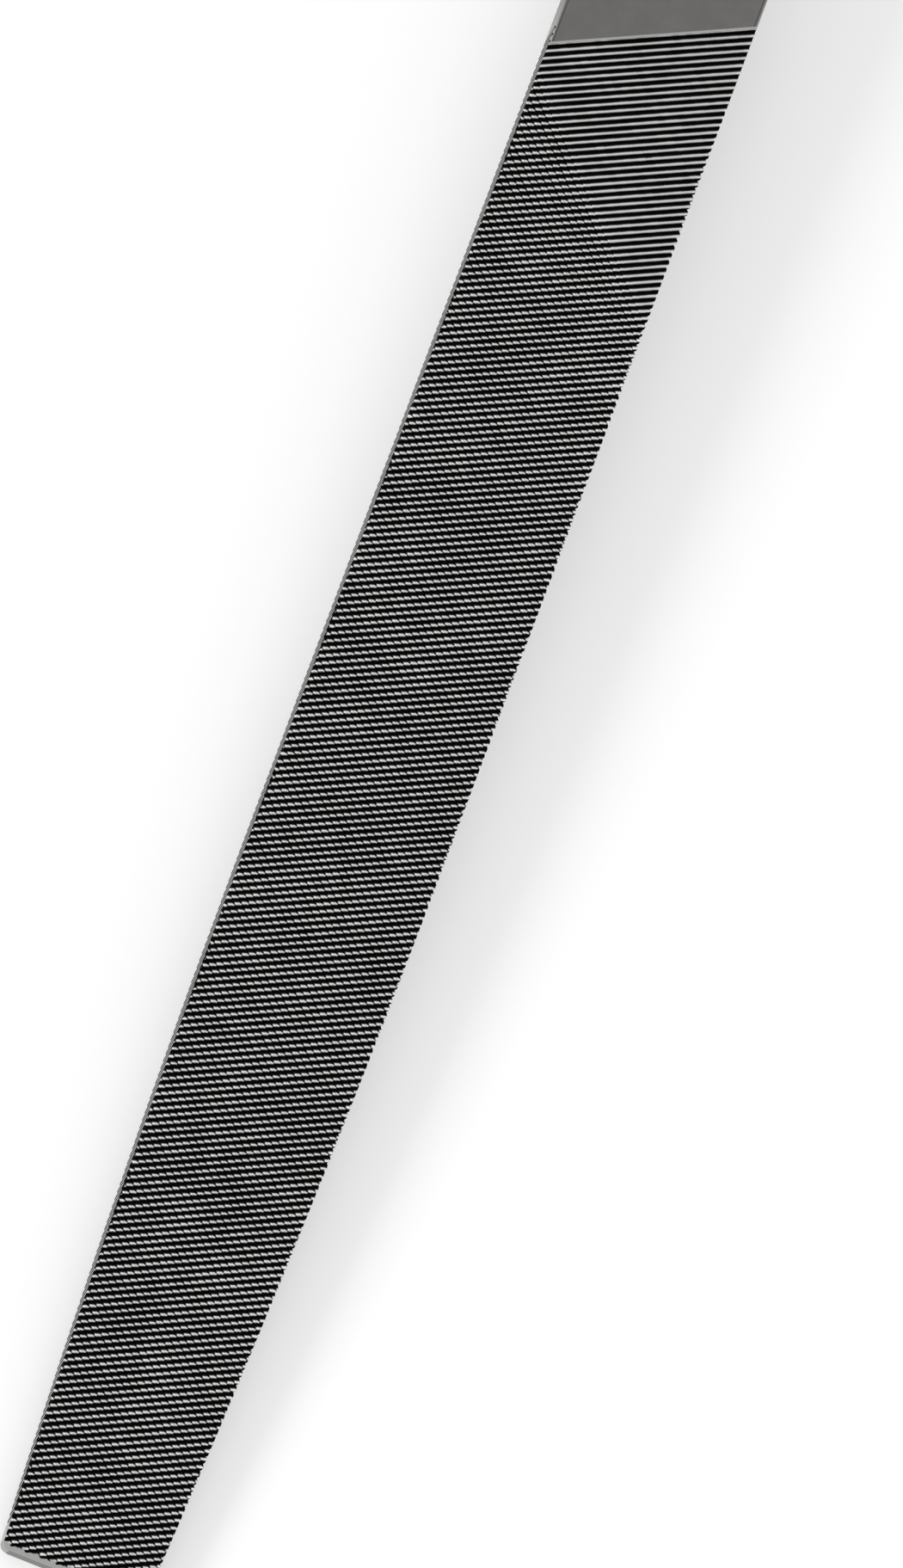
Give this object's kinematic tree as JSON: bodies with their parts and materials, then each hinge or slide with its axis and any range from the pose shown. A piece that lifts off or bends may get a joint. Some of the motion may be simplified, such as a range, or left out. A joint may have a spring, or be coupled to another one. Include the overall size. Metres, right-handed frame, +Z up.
{
  "type": "flat file",
  "caption": "Flat hand file for metalwork: double-cut steel blade with a tang in a turned wooden handle with a steel ferrule.",
  "frame": {"origin": "on the bench the tool lies on, under the middle of its length", "axes": "+X towards the file's point, +Y across the broad faces, +Z up from the bench; the tool rests on the handle's belly and the point's lower edge, so its own axis dips 2.5 degrees towards the point"},
  "size_m": [0.3262, 0.0284, 0.0286],
  "materials": {
    "file_steel": "hardened and cut, matte grey",
    "ferrule_steel": "drawn, lightly polished",
    "handle_wood": "clear lacquer"
  },
  "bodies": {
    "blade": {"file_blade": "file_steel"},
    "grip": {"handle": "handle_wood", "ferrule": "ferrule_steel"}
  },
  "joints": [
    {"name": "handle_pull", "type": "slide", "parent": "blade", "child": "grip", "axis": [-0.999, 0, 0.0441], "range_m": [0, 0.06]}
  ]
}
